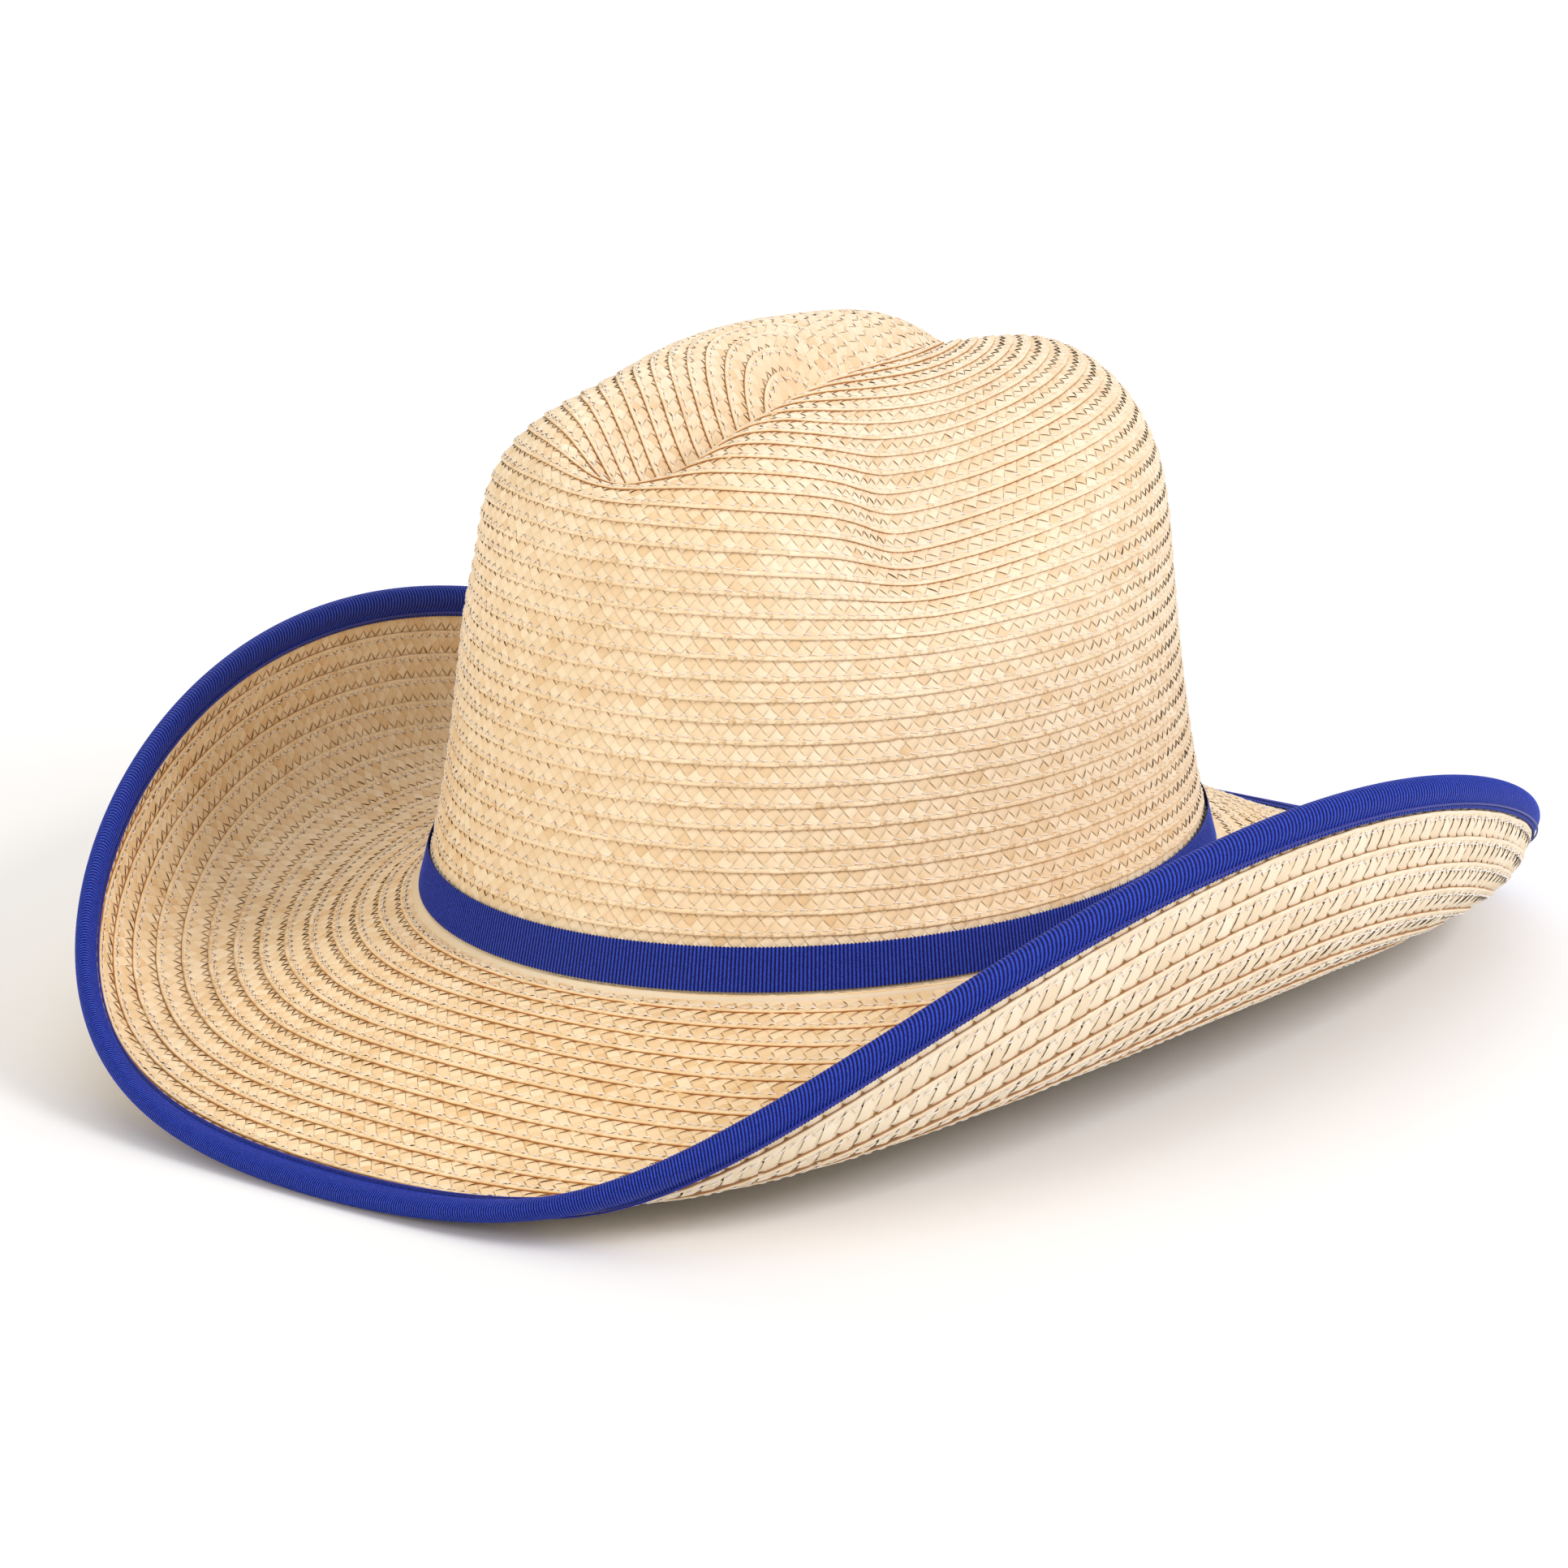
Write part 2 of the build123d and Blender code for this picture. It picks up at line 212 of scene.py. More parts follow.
def crown_sheet(lines=260):
    """The crown at equal steps of distance from the break to the tip."""
    turn = np.linspace(0, TURN, TURN_STEPS + 1)[:, None]
    run = np.linspace(0, CROWN_RUN, lines)[None, :]
    return Sheet(crown_points(turn + 0 * run, run + 0 * turn))


def brim_sheet(lines=200):
    """The brim at equal steps of distance from the break to the outermost line."""
    turn = np.linspace(0, TURN, TURN_STEPS + 1)
    fine = np.linspace(0, 1, 401)
    raw = brim_points(turn[:, None] + 0 * fine, fine + 0 * turn[:, None])
    paces = np.linalg.norm(np.diff(raw, axis=1), axis=-1)
    run = np.concatenate([np.zeros((len(turn), 1)), np.cumsum(paces, 1)], 1)
    even = np.linspace(0, 1, lines)
    grid = np.empty((len(turn), lines, 3))
    for i in range(len(turn)):
        share = np.interp(even * run[i, -1], run[i], fine)
        grid[i] = brim_points(turn[i] + 0 * share, share)
    return Sheet(grid)


CROWN = crown_sheet()
BRIM = brim_sheet()
# The sheet normals point outward on the crown and upward on the brim.
QUARTER = TURN_STEPS // 4
if CROWN.normals[QUARTER, 40][0] < 0:
    CROWN.normals *= -1
if BRIM.normals[QUARTER, 20][2] < 0:
    BRIM.normals *= -1


# ---------------------------------------------------------------- meshes
def make_mesh(name, points_mm, faces, material, tones=None, uv=None):
    """A smooth mesh object from arrays; faces has one row of vertex numbers a quad."""
    faces = np.asarray(faces, dtype=np.int32)
    mesh = bpy.data.meshes.new(name)
    mesh.vertices.add(len(points_mm))
    mesh.vertices.foreach_set("co", (points_mm * MM).astype(np.float32).ravel())
    mesh.loops.add(faces.size)
    mesh.loops.foreach_set("vertex_index", faces.ravel())
    mesh.polygons.add(len(faces))
    corners = faces.shape[1]
    mesh.polygons.foreach_set("loop_start", np.arange(0, faces.size, corners, dtype=np.int32))
    mesh.polygons.foreach_set("loop_total", np.full(len(faces), corners, dtype=np.int32))
    mesh.update(calc_edges=True)
    mesh.polygons.foreach_set("use_smooth", np.full(len(faces), True))
    if tones is not None:
        layer = mesh.attributes.new("tone", "FLOAT", "POINT")
        layer.data.foreach_set("value", tones.astype(np.float32))
    if uv is not None:
        layer = mesh.uv_layers.new(name="along")
        layer.data.foreach_set("uv", uv.astype(np.float32)[faces.ravel()].ravel())
    mesh.validate()
    mesh.materials.append(material)
    piece = bpy.data.objects.new(name, mesh)
    bpy.context.scene.collection.objects.link(piece)
    return piece


def grid_faces(rows, columns, wrap=False):
    """Quads of a grid whose vertices are numbered row by row."""
    i = np.arange(rows - 1)[:, None]
    j = np.arange(columns if wrap else columns - 1)[None, :]
    k = (j + 1) % columns
    a, b = i * columns + j, i * columns + k
    c, d = (i + 1) * columns + k, (i + 1) * columns + j
    return np.stack([a, b, c, d], -1).reshape(-1, 4)


def repeat_faces(quads, count, points_each):
    """The same small patch of quads, once for each of count patches."""
    return (quads[None] + (np.arange(count) * points_each)[:, None, None]).reshape(-1, 4)


def add_pieces(name, points, chunks, material, tones=None, uv=None, numbered=True):
    """One piece for each chunk of faces, holding only the points that it uses."""
    pieces = []
    for number, faces in enumerate(chunks, 1):
        used, renumbered = np.unique(faces, return_inverse=True)
        piece = make_mesh(f"{name}_{number}" if numbered else name, points[used],
                          renumbered.reshape(faces.shape), material,
                          tones=None if tones is None else tones[used],
                          uv=None if uv is None else uv[used])
        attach(piece, "root")
        pieces.append(piece)
    return pieces


# ---------------------------------------------------------------- materials
def new_material(name, roughness, sheen=0.0, specular=0.4):
    material = bpy.data.materials.new(name)
    material.use_nodes = True
    tree = material.node_tree
    shader = tree.nodes["Principled BSDF"]
    shader.inputs["Roughness"].default_value = roughness
    shader.inputs["Specular IOR Level"].default_value = specular
    shader.inputs["Sheen Weight"].default_value = sheen
    return material, tree, shader


def add(tree, kind, **values):
    """A node with its inputs, or else its own settings, set by name."""
    node = tree.nodes.new(kind)
    for key, value in values.items():
        if key in node.inputs:
            node.inputs[key].default_value = value
        else:
            setattr(node, key, value)
    return node


def ramp(tree, factor, *stops):
    """Colour by factor; each stop is (place, colour)."""
    node = tree.nodes.new("ShaderNodeValToRGB")
    elements = node.color_ramp.elements
    while len(elements) < len(stops):
        elements.new(0.5)
    for element, (place, colour) in zip(elements, stops):
        element.position = place
        element.color = (*colour, 1)
    tree.links.new(factor, node.inputs["Fac"])
    return node.outputs["Color"]


def noise(tree, **values):
    """Noise that stays fixed to the piece."""
    place = add(tree, "ShaderNodeTexCoord")
    node = add(tree, "ShaderNodeTexNoise", **values)
    tree.links.new(place.outputs["Object"], node.inputs["Vector"])
    return node.outputs["Fac"]


def scaled_sum(tree, value, factor, plus):
    """value * factor + plus"""
    node = add(tree, "ShaderNodeMath", operation="MULTIPLY_ADD")
    tree.links.new(value, node.inputs[0])
    node.inputs[1].default_value = factor
    tree.links.new(plus, node.inputs[2])
    return node.outputs[0]


def roughen(tree, shader, height, strength, distance):
    """Fine relief that is too small to model."""
    bump = add(tree, "ShaderNodeBump", Strength=strength, Distance=distance)
    tree.links.new(height, bump.inputs["Height"])
    tree.links.new(bump.outputs["Normal"], shader.inputs["Normal"])


def straw_material(name, light, deep, dull=0.0):
    """Split palm leaf: fine fibres along each strand, each strand its own tone."""
    material, tree, shader = new_material(name, 0.5, specular=0.35)
    links = tree.links
    tone = add(tree, "ShaderNodeAttribute", attribute_name="tone")
    where = add(tree, "ShaderNodeUVMap", uv_map="along")
    fibre_map = add(tree, "ShaderNodeMapping", Scale=(0.35, 5.0, 1))
    fibre = add(tree, "ShaderNodeTexNoise", Scale=1.0, Detail=3.0, Roughness=0.6)
    links.new(where.outputs["UV"], fibre_map.inputs["Vector"])
    links.new(fibre_map.outputs["Vector"], fibre.inputs["Vector"])
    cloud = noise(tree, Scale=38.0, Detail=2.0)

    strand_tone = scaled_sum(tree, fibre.outputs["Fac"], 0.35, tone.outputs["Fac"])
    clouded = scaled_sum(tree, cloud, 0.45, strand_tone)
    # the lowest stop is painted shade, reached only where a fringe's painted shade pulls the tone down
    # under each row's edge
    shadow = (deep[0] * 0.52, deep[1] * 0.34, deep[2] * 0.25)
    colour = ramp(tree, clouded, (0.0, shadow), (0.22, deep), (0.95, light))
    links.new(colour, shader.inputs["Base Color"])

    rough = add(tree, "ShaderNodeMapRange")
    links.new(fibre.outputs["Fac"], rough.inputs["Value"])
    rough.inputs["To Min"].default_value = 0.38 + dull
    rough.inputs["To Max"].default_value = 0.62 + dull
    links.new(rough.outputs["Result"], shader.inputs["Roughness"])
    roughen(tree, shader, fibre.outputs["Fac"], 0.25, 0.12 * MM)
    return material


def cloth_material(name, light, deep, roughness=0.7, sheen=0.3):
    """Woven thread: a fine speckle of yarns over a slow drift of tone."""
    material, tree, shader = new_material(name, roughness, sheen=sheen, specular=0.25)
    yarn = noise(tree, Scale=900.0, Detail=2.0, Roughness=0.7)
    drift = noise(tree, Scale=25.0, Detail=2.0)
    mixed = scaled_sum(tree, drift, 0.5, yarn)
    colour = ramp(tree, mixed, (0.45, deep), (1.0, light))
    tree.links.new(colour, shader.inputs["Base Color"])
    roughen(tree, shader, yarn, 0.4, 0.1 * MM)
    return material


def ribbon_material(name):
    """Grosgrain: painted shade between the ribs and a painted highlight along their backs, both driven
    by rib height, over a fine yarn speckle.
    """
    material, tree, shader = new_material(name, 0.5, specular=0.16)
    rib = add(tree, "ShaderNodeAttribute", attribute_name="tone")
    yarn = noise(tree, Scale=2600.0, Detail=2.0, Roughness=0.75)
    mixed = scaled_sum(tree, yarn, 0.7, rib.outputs["Fac"])
    scaled = add(tree, "ShaderNodeMath", operation="MULTIPLY")
    tree.links.new(mixed, scaled.inputs[0])
    scaled.inputs[1].default_value = 0.68
    # the darkest stop is painted shade in the rib valleys, the brightest a painted highlight on the rib
    # crests
    colour = ramp(tree, scaled.outputs[0], (0.34, (0.001, 0.001, 0.030)),
                  (0.66, (0.001, 0.003, 0.14)), (0.94, (0.03, 0.08, 0.60)))
    tree.links.new(colour, shader.inputs["Base Color"])
    roughen(tree, shader, yarn, 0.9, 0.15 * MM)
    return material


def metal_material(name, bright, dark, roughness):
    """Drawn wire and soft sleeve metal, faintly mottled."""
    material, tree, shader = new_material(name, roughness)
    shader.inputs["Metallic"].default_value = 1.0
    grain = noise(tree, Scale=600.0, Detail=3.0, Roughness=0.6)
    colour = ramp(tree, grain, (0.3, dark), (0.7, bright))
    tree.links.new(colour, shader.inputs["Base Color"])
    return material


STRAW_TOP = straw_material("straw_outside", (0.93, 0.78, 0.56), (0.75, 0.51, 0.26))
# the brim's straw is a deeper, more saturated copy of the crown's straw, as painted shade for the warm
# shade on the brim
STRAW_BRIM_SHADED = straw_material("straw_brim_painted_shade", (0.92, 0.73, 0.47), (0.73, 0.45, 0.18))
STRAW_UNDER = straw_material("straw_underside", (0.88, 0.76, 0.57), (0.74, 0.57, 0.36), dull=0.08)
# the core's dark brown is painted shade for the gaps between the strands
STRAW_CORE_SHADE = straw_material("straw_core_painted_shade", (0.62, 0.34, 0.11), (0.40, 0.19, 0.05), dull=0.2)
SEAM_THREAD = cloth_material("seam_thread", (0.93, 0.88, 0.84), (0.80, 0.74, 0.68), roughness=0.6)
BLUE_RIBBON = ribbon_material("blue_grosgrain")
BLUE_LAP = cloth_material("blue_lap", (0.004, 0.012, 0.24), (0.001, 0.003, 0.10), sheen=0.0)
BLUE_THREAD = cloth_material("blue_thread", (0.012, 0.02, 0.32), (0.004, 0.006, 0.15))
SWEAT_CLOTH = cloth_material("sweatband_cotton", (0.80, 0.75, 0.64), (0.64, 0.58, 0.46), roughness=0.85)
WIRE_STEEL = metal_material("wire_steel", (0.56, 0.56, 0.57), (0.42, 0.42, 0.43), 0.38)
JOINER_METAL = metal_material("joiner_aluminium", (0.80, 0.80, 0.81), (0.66, 0.66, 0.67), 0.45)
CREAM_THREAD = cloth_material("cream_thread", (0.85, 0.82, 0.75), (0.70, 0.66, 0.58))


# ---------------------------------------------------------------- sewn braid
PITCH, BRIM_PITCH = 4.5, 5.1       # visible width of one row on the crown and on the brim
STRAND, UNDER_STRAND = 2.4, 2.95   # width of one split-leaf strand
LEAN = math.radians(46)            # strands lean this far from the row's length
UNDER_LEAN = math.radians(54)
UNDER_STEP = 4.55                  # one repeat of the weave on the brim's underside
UNDER_SINK = -0.22                 # the plain weave lies this much below the long floats
LAP_RISE = 0.62                    # how far a row's free edge stands above the row it laps
WEAVE_RISE, UNDER_RISE = 0.17, 0.22   # how far a strand arches over the one it crosses
TUCK = 0.22                        # share of a strand's half width that goes under at each end
SEAM_IN, UNDER_SEAM_IN = 1.2, 1.35    # stitch line, in from the free edge
STITCH_STEP = 2.9
THREAD = 0.145                     # radius of the sewing thread
FRINGE, UNDER_FRINGE = 1.0, 0.8    # plain folded edge of each row
FRINGE_STEP = 1.1
DEEPEST = -STRAW / 2 + 0.02        # no strand goes below the middle of the straw


class Rows:
    """A spiral of rows laid on a sheet, from its first turn to its last."""

    def __init__(self, sheet, first, count, start_part, step_part, pitch):
        """The free edge of the row lies at start_part + step_part for each turn done."""
        self.sheet = sheet
        self.start, self.step = start_part, step_part
        self.pitch = pitch
        self.angle = np.linspace(first * TURN, (first + count) * TURN, int(count * TURN_STEPS) + 1)
        speed = sheet.speed(self.angle, self.edge_part(self.angle))
        self.run = np.r_[0, np.cumsum((speed[1:] + speed[:-1]) / 2 * np.diff(self.angle))]

    def edge_part(self, angle):
        return self.start + self.step * angle / TURN

    def place(self, along, across, off):
        """along in mm on the braid, across from 0 at the tucked side to the free edge."""
        angle = np.interp(along, self.run, self.angle)
        part = self.edge_part(angle) - self.step * (1 - across / self.pitch)
        return self.sheet.point(angle, part, off)


def plain_weave(rows, step_along, step_across, lines, sunk=0.0):
    """Crossings of an over-and-under weave, counted in from the free edge.

    Each is (place along, place across, 0 or 1 for its lean, length share, depth)."""
    cells = []
    for line in range(lines):
        number = np.arange(line % 2, int(rows.run[-1] / step_along), 2)
        ones = np.ones(len(number))
        across = rows.pitch - line * step_across
        cells.append((number * step_along, ones * across, ones * (line % 2), ones, ones * sunk))
    return cells


def underside_weave(rows):
    """Long floats over a plain weave, with shorter ones between their outer ends."""
    step_across = UNDER_STRAND / (2 * math.cos(UNDER_LEAN))
    cells = plain_weave(rows, UNDER_STEP / 2, step_across, 3, UNDER_SINK)
    number = np.arange(int(rows.run[-1] / UNDER_STEP))
    ones = np.ones(len(number))
    cells.append((number * UNDER_STEP, ones * rows.pitch * 0.36, ones * 0, ones * 1.45, ones * 0))
    cells.append(((number + 0.62) * UNDER_STEP, ones * rows.pitch * 0.82, ones, ones * 0.75,
                  ones * -0.08))
    return cells


def strand_patches(rows, cells, strand, lean, rise, quads, face, side):
    """Every visible stretch of strand between two crossings, as a small arched patch.

    side is 1 for the outer face and -1 for the back; face is where the free edges lie."""
    cells = np.stack([np.concatenate(column) for column in zip(*cells)])
    u, v, kind, stretch, sunk = cells[:, np.argsort(cells[0], kind="stable")]
    count = len(u)

    steps = np.linspace(-1, 1, quads + 1)
    length, breadth = np.meshgrid(steps, steps, indexing="ij")
    length, breadth = length.ravel()[None], breadth.ravel()[None]
    lean_each = lean + rng.normal(0, 0.05, count)
    lean_each = np.where(kind == 0, lean_each, -lean_each)[:, None]
    half_long = strand / 2 * (stretch + TUCK)[:, None]
    half_wide = strand / 2 * (0.97 + rng.normal(0, 0.03, count))[:, None]
    du = length * half_long * np.cos(lean_each) - breadth * half_wide * np.sin(lean_each)
    dv = length * half_long * np.sin(lean_each) + breadth * half_wide * np.cos(lean_each)
    along, across = u[:, None] + du, v[:, None] + dv

    # arched along the strand, a little crowned across it, each strand at its own height and tilt
    reach = np.abs(length) * (stretch[:, None] + TUCK) / stretch[:, None]
    arch = 1 - np.clip(reach, 0, 1.3) ** 3.2
    height = rise * (arch - 0.16 * breadth ** 2) + rng.normal(0, 0.022, count)[:, None]
    height += rng.normal(0, 0.035, count)[:, None] * breadth

    # the row slopes up to its free edge, where strands fold down
    slope = np.clip(across / rows.pitch, -0.1, 1.0)
    past = np.clip(across - rows.pitch, 0, None)
    across = np.minimum(across, rows.pitch) - past * 0.12
    level = -LAP_RISE * (1 - slope) - past * 0.85 + height - rise + sunk[:, None]
    off = face + side * np.maximum(level, DEEPEST)
    along = np.clip(along, 0, rows.run[-1])
    points = rows.place(along.ravel(), across.ravel(), off.ravel())

    points_each = (quads + 1) ** 2
    faces = repeat_faces(grid_faces(quads + 1, quads + 1), count, points_each)
    tone = np.clip(rng.normal(0.34, 0.13, count), 0.0, 0.75)
    tone = np.where(rng.random(count) < 0.03, tone * 0.3, tone)
    shift = rng.random((count, 2)) * 50
    uv = np.stack([length * half_long + shift[:, :1], breadth * half_wide + shift[:, 1:]], -1)
    return points, faces, np.repeat(tone, points_each), uv.reshape(-1, 2)


def add_braid(name, rows, material, parts, cells=None, strand=STRAND, lean=LEAN, rise=WEAVE_RISE,
              quads=3, face=0.0, side=1, flip=False):
    """Builds the strands as a few pieces of like size, so that none is too heavy."""
    if cells is None:
        step_along, step_across = strand / (2 * math.sin(lean)), strand / (2 * math.cos(lean))
        cells = plain_weave(rows, step_along, step_across, 4)
    points, faces, tones, uv = strand_patches(rows, cells, strand, lean, rise, quads, face, side)
    if flip:
        faces = faces[:, ::-1]
    add_pieces(name, points, np.array_split(faces, parts), material, tones, uv)


def add_stitches(name, rows, parts, face=0.0, side=1, seam_in=SEAM_IN):
    """Short slanted dashes of thread, each dipping into the straw at both ends."""
    count = int(rows.run[-1] / STITCH_STEP)
    centre = (np.arange(count) + 0.5) * STITCH_STEP + rng.normal(0, 0.12, count)
    across = rows.pitch - seam_in + rng.normal(0, 0.08, count)
    rings, sides = 6, 5
    along_thread, round_thread = np.meshgrid(np.linspace(-1, 1, rings), np.arange(sides) / sides * TURN,
                                             indexing="ij")
    along_thread, round_thread = along_thread.ravel()[None], round_thread.ravel()[None]
    half = (0.40 * STITCH_STEP * (1 + rng.normal(0, 0.08, count)))[:, None]
    radius = THREAD * np.sqrt(np.clip(1 - 0.85 * along_thread ** 2, 0.05, 1))
    slant = (0.16 + rng.normal(0, 0.05, count))[:, None]
    along = centre[:, None] + along_thread * half
    wide = across[:, None] + along_thread * half * slant + np.cos(round_thread) * radius
    level = -LAP_RISE * (seam_in / rows.pitch) + 0.06 - 0.34 * along_thread ** 4
    level = level + np.sin(round_thread) * radius + 0 * along
    points = rows.place(along.ravel(), wide.ravel(), face + side * level.ravel())
    faces = repeat_faces(grid_faces(rings, sides, wrap=True), count, rings * sides)
    add_pieces(name, points, np.array_split(faces, parts), SEAM_THREAD)


def add_fringe(name, rows, material, face=0.0, side=1, flip=False, width=FRINGE):
    """The smooth folded edge along each row, its strands a little uneven; painted shade darkens the fold
    where it turns down under the edge.
    """
    # across, level and painted shade of each line, from the row's face over the fold and down
    profile = np.array([(-width, -0.20, 0.0), (-0.86 * width, -0.10, 0.0), (-0.45 * width, -0.05, 0.02),
                        (-0.10, -0.08, -0.02), (0.0, -0.20, -0.2), (0.01, -0.42, -0.9),
                        (0.02, -0.85, -1.2)])
    line_across, line_level, line_painted_shade = profile.T[:, :, None]
    count = int(rows.run[-1] / FRINGE_STEP)
    along = np.arange(count) * FRINGE_STEP + 0.5
    wobble = np.repeat(rng.normal(0, 1, count // 3 + 2), 3)[:count]
    wobble = np.convolve(wobble, (0.25, 0.5, 0.25), "same")
    lift = 0.035 * wobble - 0.03 * (np.arange(count) % 3 == 0)
    across = rows.pitch + line_across + 0.05 * wobble[None]
    level = line_level + lift[None] - LAP_RISE * (1 - np.clip(across / rows.pitch, 0, 1))
    off = face + side * np.maximum(level, DEEPEST)
    points = rows.place((along[None] + 0 * across).ravel(), across.ravel(), off.ravel())
    faces = grid_faces(len(profile), count)
    if flip:
        faces = faces[:, ::-1]
    tone = np.clip(np.repeat(rng.normal(0.40, 0.10, count // 3 + 2), 3)[:count], 0.1, 0.7)
    # the painted shade is added to each strand's tone, so the fold's lowest lines take the straw's
    # painted shadow colour
    tones = (tone[None] + line_painted_shade).ravel()
    uv = np.stack([np.tile(along, len(profile)), across.ravel()], -1)
    add_pieces(name, points, [faces], material, tones, uv)


def add_core(name, sheet, low, high, off, lines, around=360):
    """The straw seen down between the strands, coloured dark brown as painted shade for the gaps."""
    turn, part = np.meshgrid(np.arange(around) / around * TURN, np.linspace(low, high, lines))
    turn, part = turn.ravel(), part.ravel()
    return add_pieces(name, sheet.point(turn, part, off), [grid_faces(lines, around, wrap=True)],
                      STRAW_CORE_SHADE, np.full(len(turn), 0.3),
                      np.stack([turn * 90, part * 150], -1), numbered=False)[0]


def add_bend(around=360, cover=0.3, up_crown=0.020, along_brim=0.025):
    """The bend that joins the foot of the crown to the first row of the brim."""
    turn = np.arange(around) / around * TURN
    brim_face = STRAW / 2 - cover
    lines = [CROWN.point(turn, up_crown, -cover), CROWN.point(turn, 0.0, -cover),
             BRIM.point(turn, along_brim, brim_face), BRIM.point(turn, along_brim, -brim_face),
             BRIM.point(turn, 0.0, -brim_face), CROWN.point(turn, up_crown, cover - STRAW),
             CROWN.point(turn, up_crown, -cover)]
    points = np.concatenate(lines)
    uv = np.stack([np.tile(turn * 90, len(lines)), np.repeat(np.arange(len(lines)), around)], -1)
    add_pieces("break_bend", points, [grid_faces(len(lines), around, wrap=True)], STRAW_UNDER,
               np.full(len(points), 0.34), uv, numbered=False)


def build_crown():
    """The spiral starts one turn from the tip and runs down to the break."""
    rows = Rows(CROWN, 1.0, CROWN_RUN / PITCH - 1.02, 1.0, -PITCH / CROWN_RUN, PITCH)
    core = add_core("crown_core", CROWN, 0.0, 0.9995, -STRAW / 2, 140)
    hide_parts("crown")
    add_braid("crown_braid", rows, STRAW_TOP, 3)
    add_stitches("crown_seam", rows, 2)
    add_fringe("crown_fringe", rows, STRAW_TOP)
    add_braid("crown_inside", rows, STRAW_UNDER, 3, quads=2, face=-STRAW, side=-1, flip=True)


def build_brim(rows_out=15, under_binding=3.2 / 80.0, last_part=0.988):
    """The rows carry on outwards, till they end under the binding."""
    outer = 1 - under_binding
    step = outer / rows_out
    rows = Rows(BRIM, 0.0, last_part / step, 0.0, step, BRIM_PITCH)
    core = add_core("brim_core", BRIM, 0.0, outer, 0.0, 90)
    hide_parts("brim")
    add_bend()
    top = dict(face=STRAW / 2)
    under = dict(face=-STRAW / 2, side=-1)
    add_braid("brim_braid", rows, STRAW_BRIM_SHADED, 4, flip=True, **top)
    add_fringe("brim_fringe", rows, STRAW_BRIM_SHADED, flip=True, **top)
    add_stitches("brim_seam", rows, 2, **top)
    add_braid("brim_underside", rows, STRAW_UNDER, 4, underside_weave(rows), UNDER_STRAND, UNDER_LEAN,
              UNDER_RISE, flip=True, **under)
    add_fringe("underside_fringe", rows, STRAW_UNDER, flip=True, width=UNDER_FRINGE, **under)
    add_stitches("underside_seam", rows, 2, seam_in=UNDER_SEAM_IN, **under)


build_crown()
build_brim()


# ---------------------------------------------------------------- ribbons
RIB, BINDING_RIB = 0.88, 0.80      # one rib of the grosgrain, along the ribbon
RIB_RISE = 0.2
RIB_SHAPE = (0.0, 0.8, 1.0, 0.8)   # height of the points along one rib
BAND_LENGTH, BINDING_LENGTH = 579.0, 1010.0
BAND_LINES, BINDING_LINES = 16, 29
BAND_FRONT, BAND_TOP = 0.8, 0.7    # shares of the lines on the front face, and up to its top
ROLL_REACH, ROLL_HEIGHT, ROLL_FOOT = 3.05, 2.1, 1.2
SELVEDGE = 4                       # lines in each flat edge of the binding
ROLL_SWEEP, ROLL_START = 1.36 * math.pi, -0.18 * math.pi


def add_ribbon(name, line_of, length, lines, node, parts, rib):
    """A ribbon round the hat with its ribs running across it.

    line_of(turn, index, wave) gives the points of one line along the ribbon."""
    ribs = int(length / rib)
    around = ribs * len(RIB_SHAPE)
    turn = np.arange(around) / around * TURN
    wave = np.tile(RIB_SHAPE, ribs)
    points = np.concatenate([line_of(turn, index, wave) for index in range(lines)])
    faces = grid_faces(lines, around, wrap=True).reshape(lines - 1, around, 4)
    chunks = [faces[:, some].reshape(-1, 4) for some in np.array_split(np.arange(around), parts)]
    # the rib height goes in as tone, which the ribbon material turns into painted shade and painted
    # highlight
    pieces = add_pieces(name, points, chunks, BLUE_RIBBON, np.tile(wave, lines),
                        numbered=parts > 1)
    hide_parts(node)


def selvedge_loops(turn, size):
    """The weft's small loops along a ribbon's edge, one to each rib."""
    return size * np.cos(np.arange(len(turn)) * TURN / len(RIB_SHAPE))


def band_line(turn, index, wave):
    """The hat band: up its front face and back down behind it."""
    share = index / (BAND_LINES - 1)
    front = share <= BAND_FRONT
    up = min(share / BAND_TOP, 1.0) if front else 1 - (share - BAND_FRONT) / (1 - BAND_FRONT)
    selvedge = min(up, 1 - up) < 0.09
    run = BAND_FOOT + BAND_WIDTH * up
    if selvedge and front:
        run = run + selvedge_loops(turn, 0.14 if up > 0.5 else -0.14)
    base = GAP + (RIBBON * 0.75 if front else 0.05)
    rise = wave * RIB_RISE * (0.5 if selvedge else 1.0) if front else 0.0
    return CROWN.point(turn, run / CROWN_RUN, base + rise)


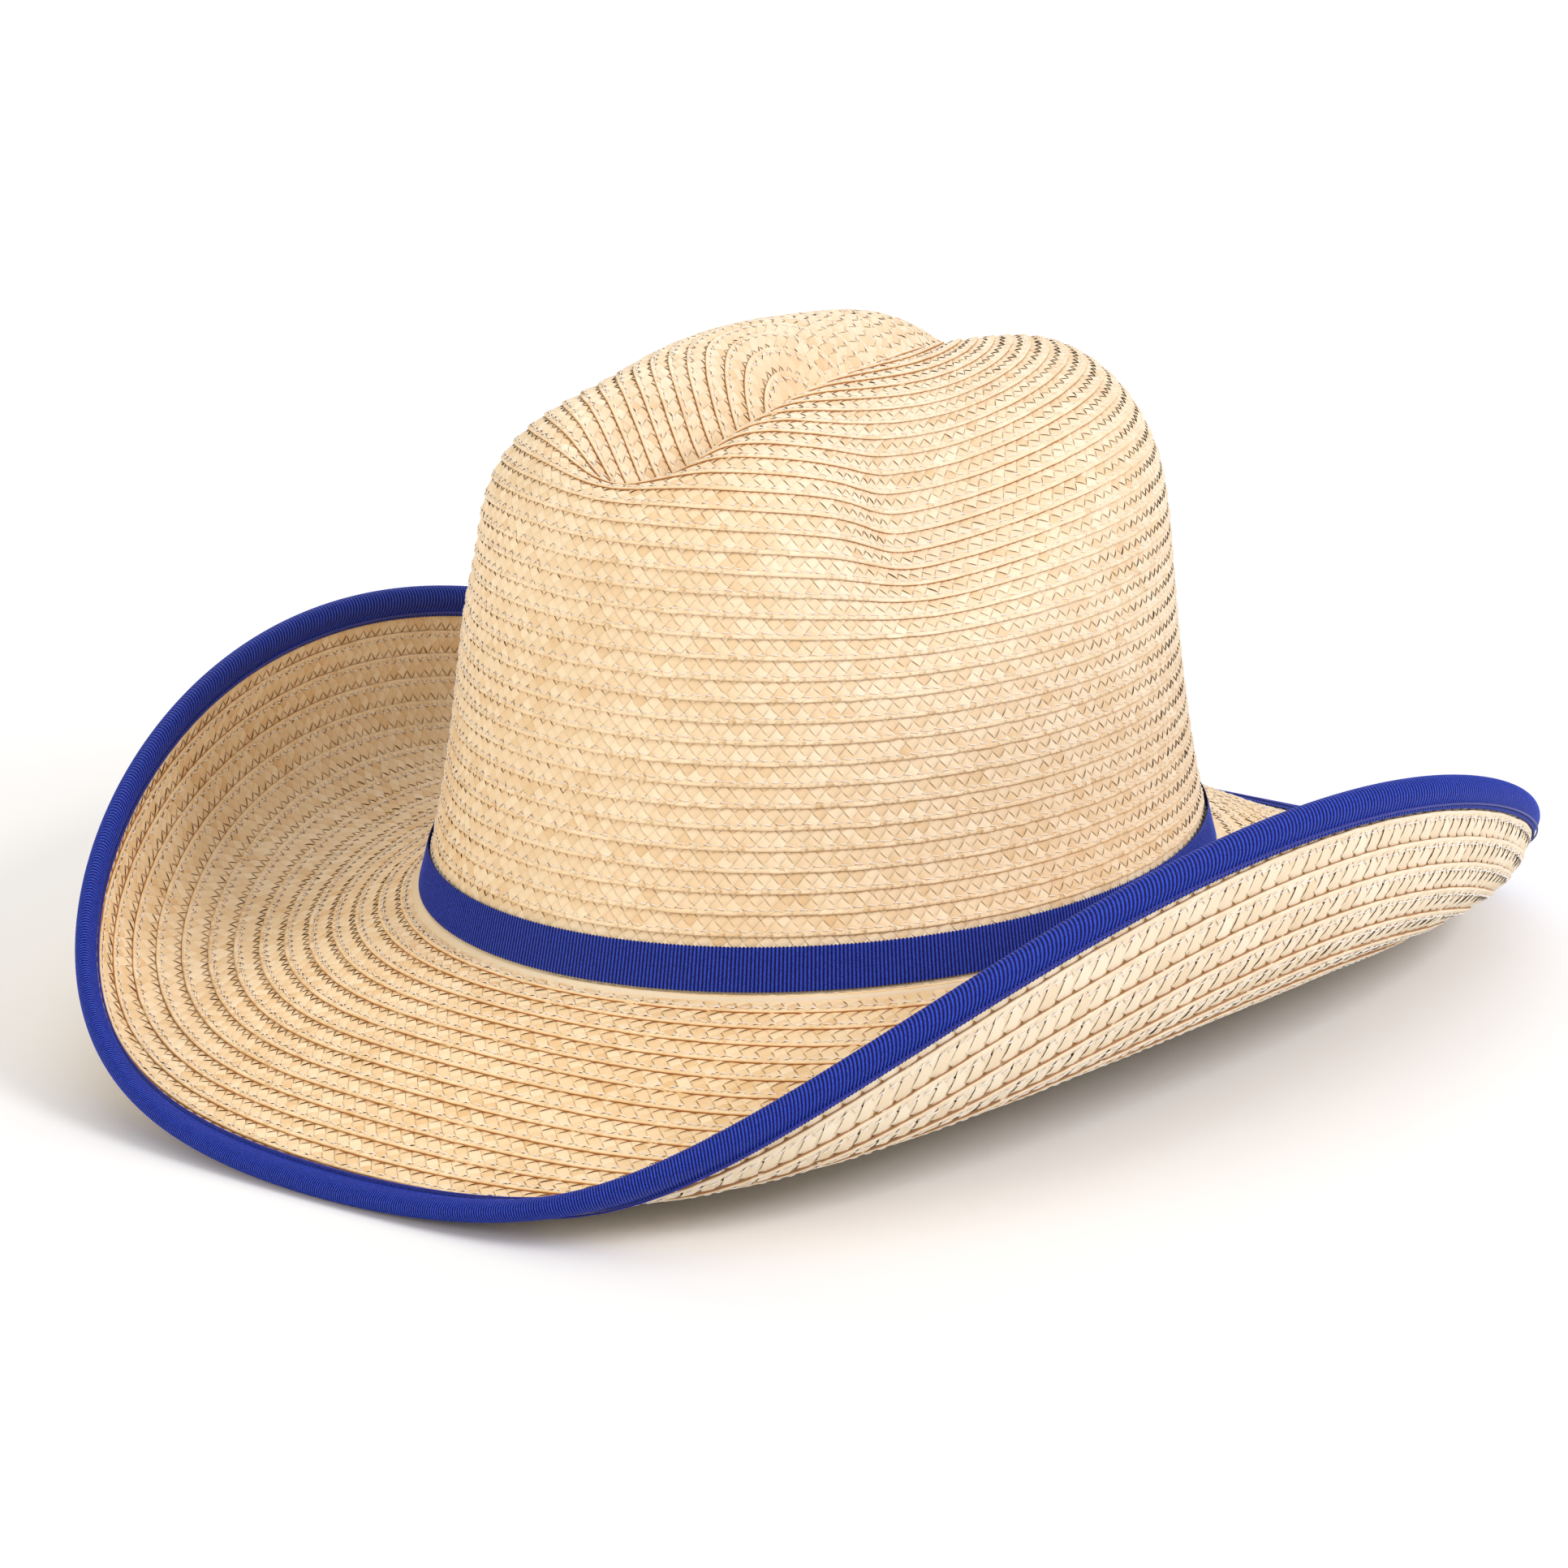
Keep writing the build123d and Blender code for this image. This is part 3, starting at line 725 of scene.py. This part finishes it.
def binding_line(turn, index, wave):
    """Across the binding: selvedge on top, round the padded roll, selvedge on the underside."""
    width = BRIM.width(turn)
    rise = wave * RIB_RISE
    from_edge = min(index, BINDING_LINES - 1 - index)
    if from_edge < SELVEDGE:
        side = 1 if index < BINDING_LINES / 2 else -1
        inward = BINDING_WIDTH - (0.0, 0.25, 1.0, 1.35)[from_edge]
        level = ROLL_FOOT + (0.0, 0.28, 0.30, 0.02)[from_edge]
        if from_edge < 2:
            inward = inward + selvedge_loops(turn, 0.13)
        return BRIM.point(turn, 1 - inward / width, side * (level + 0.4 * rise))
    # half an egg: from the foot of the roll, over its back and round the nose
    angle = (index - SELVEDGE) / (BINDING_LINES - 1 - 2 * SELVEDGE) * ROLL_SWEEP + ROLL_START
    inward = ROLL_REACH - (ROLL_REACH + rise) * math.sin(angle)
    level = (ROLL_HEIGHT + rise) * math.cos(angle)
    inside = BRIM.point(turn, 1 - np.clip(inward, 0, None) / width, level)
    out = BRIM.point(turn, 1.0, 0.0) - BRIM.point(turn, 1 - 0.5 / width, 0.0)
    out = out / np.linalg.norm(out, axis=-1, keepdims=True)
    return inside + out * np.clip(-inward, 0, None)[:, None]


add_ribbon("band_ribbon", band_line, BAND_LENGTH, BAND_LINES, "hat_band", 1, RIB)
add_ribbon("binding_ribbon", binding_line, BINDING_LENGTH, BINDING_LINES, "edge_binding", 2, BINDING_RIB)


# ---------------------------------------------------------------- pieces kept from the CAD model
KEPT = {
    "edge_wire": WIRE_STEEL,
    "wire_joiner": JOINER_METAL,
    "binding_stitching": BLUE_THREAD,
    "hat_band_tacks": BLUE_THREAD,
    "hat_band_lap": BLUE_LAP,
    "sweatband": SWEAT_CLOTH,
    "sweatband_tab": SWEAT_CLOTH,
    "sweatband_stitching": CREAM_THREAD,
}
for node, material in KEPT.items():
    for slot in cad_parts[node].material_slots:
        slot.material = material


# ---------------------------------------------------------------- stage, light, camera
VIEW_AROUND, VIEW_UP = math.radians(35.63), math.radians(17.72)
DISTANCE, LENS, SENSOR = 1.2, 121.5, 36
SHIFT = (-0.0246, 0.0462)
FLOOR_HALF, FLOOR_DROP = 4, 0.0005


def place_camera():
    """The eye stands in front of the hat, round to the wearer's left and a little above."""
    centre = Vector((0, BREAK_BACK * MM, BREAK_HEIGHT * MM))
    back = Vector((math.sin(VIEW_AROUND) * math.cos(VIEW_UP), -math.cos(VIEW_AROUND) * math.cos(VIEW_UP),
                   math.sin(VIEW_UP)))
    right = Vector((math.cos(VIEW_AROUND), math.sin(VIEW_AROUND), 0))
    axes = Matrix((right, back.cross(right), back)).transposed().to_4x4()
    data = bpy.data.cameras.new("camera")
    data.lens = LENS
    data.sensor_width = SENSOR
    data.shift_x, data.shift_y = SHIFT
    camera = bpy.data.objects.new("camera", data)
    camera.matrix_world = Matrix.Translation(centre + back * DISTANCE) @ axes
    bpy.context.scene.collection.objects.link(camera)
    bpy.context.scene.camera = camera
    return back, right, centre


def area_light(name, place, aim, size, power, colour=(1, 1, 1)):
    data = bpy.data.lights.new(name, "AREA")
    data.size = size
    data.energy = power
    data.color = colour
    light = bpy.data.objects.new(name, data)
    light.location = place
    light.rotation_euler = (aim - place).to_track_quat("-Z", "Y").to_euler()
    bpy.context.scene.collection.objects.link(light)


def light_studio(back, right, centre):
    """A cool key from the right, a warm fill from the left, and light on the floor behind."""
    toward = Vector((back.x, back.y, 0)).normalized()
    above = Vector((0, 0, 1))
    area_light("key", centre + right * 1.1 + toward * 0.7 + above, centre, 0.6, 14, (0.97, 0.95, 1.0))
    area_light("warm_fill", centre - right * 1.25 + toward * 0.9 + above * 0.55, centre, 0.9, 9,
               (1.0, 0.82, 0.56))
    area_light("floor_wash", centre - toward * 1.6 + above * 1.3, centre - toward * 2.2, 1.6, 26)
    area_light("top", centre + above * 1.5, centre, 1.2, 3)
    world = bpy.data.worlds.new("studio")
    world.use_nodes = True
    sky = world.node_tree.nodes["Background"]
    sky.inputs["Color"].default_value = (1, 1, 1, 1)
    sky.inputs["Strength"].default_value = 0.58
    bpy.context.scene.world = world


def lay_floor():
    half = FLOOR_HALF
    mesh = bpy.data.meshes.new("floor")
    mesh.from_pydata([(-half, -half, 0), (half, -half, 0), (half, half, 0), (-half, half, 0)], [],
                     [(0, 1, 2, 3)])
    material, _, shader = new_material("pale_floor", 0.9, specular=0.1)
    shader.inputs["Base Color"].default_value = (0.92, 0.92, 0.92, 1)
    mesh.materials.append(material)
    floor = bpy.data.objects.new("floor", mesh)
    floor.location.z = -FLOOR_DROP
    bpy.context.scene.collection.objects.link(floor)


light_studio(*place_camera())
lay_floor()
bpy.context.scene.view_settings.view_transform = "Standard"
